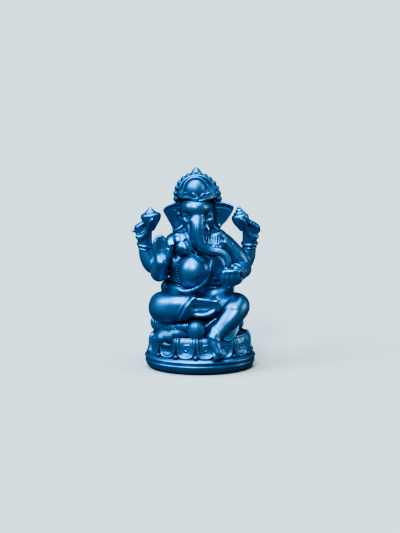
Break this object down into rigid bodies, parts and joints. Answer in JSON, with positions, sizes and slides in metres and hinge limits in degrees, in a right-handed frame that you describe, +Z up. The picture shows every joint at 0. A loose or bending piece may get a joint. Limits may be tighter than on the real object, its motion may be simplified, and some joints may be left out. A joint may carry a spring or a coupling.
{
  "type": "ganesha statue",
  "caption": "Small seated deity figure with an elephant's head, a domed crown and raised arms, on an oval lotus base, cast as one and finished in glossy blue.",
  "frame": {"origin": "centre of the flat underside of the oval base", "axes": "+Z up, -Y the way the figure faces, +X to the right of a viewer who stands in front of it"},
  "size_m": [0.0932, 0.0646, 0.1502],
  "materials": {
    "blue_lacquer": "glossy deep blue lacquer with a metallic sheen over cast resin, darker in the hollows"
  },
  "bodies": {
    "root": {"ganesha_statue": "blue_lacquer"}
  },
  "joints": []
}
